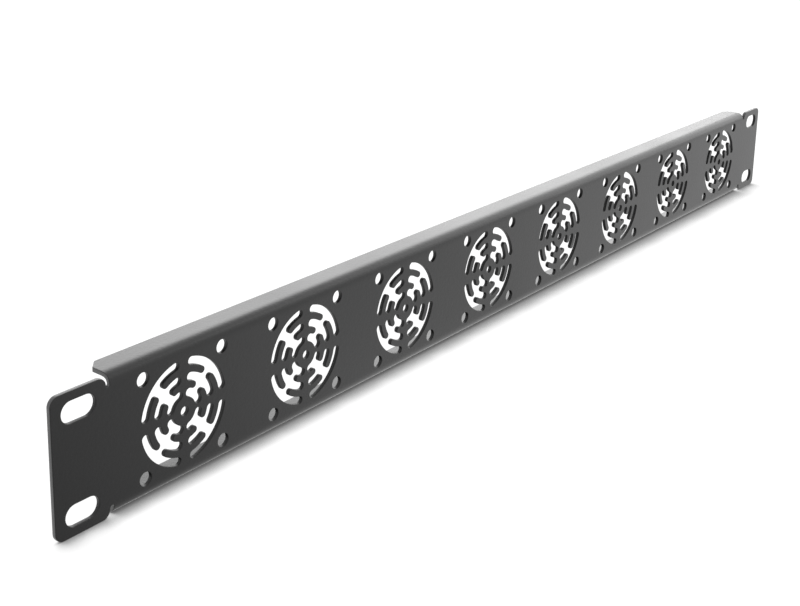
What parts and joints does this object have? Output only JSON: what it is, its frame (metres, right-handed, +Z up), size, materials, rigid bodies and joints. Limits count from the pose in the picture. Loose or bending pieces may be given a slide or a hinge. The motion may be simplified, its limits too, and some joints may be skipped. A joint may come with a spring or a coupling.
{
  "type": "rack fan panel",
  "caption": "Flat rack panel one unit high with slotted ears, folded upper and lower flanges, and a row of round fan grilles with screw holes.",
  "frame": {"origin": "middle of the four ear slots, on the rear face of the ears, which seats on the rack's rails", "axes": "+X along the panel, to the right as seen from the front; +Y from the front of the rack to its rear, the way the flanges point; +Z up"},
  "size_m": [0.4844, 0.011, 0.0444],
  "materials": {
    "powder_coat": "fine-textured satin black powder coat on steel sheet"
  },
  "bodies": {
    "root": {"fan_panel": "powder_coat"}
  },
  "joints": []
}
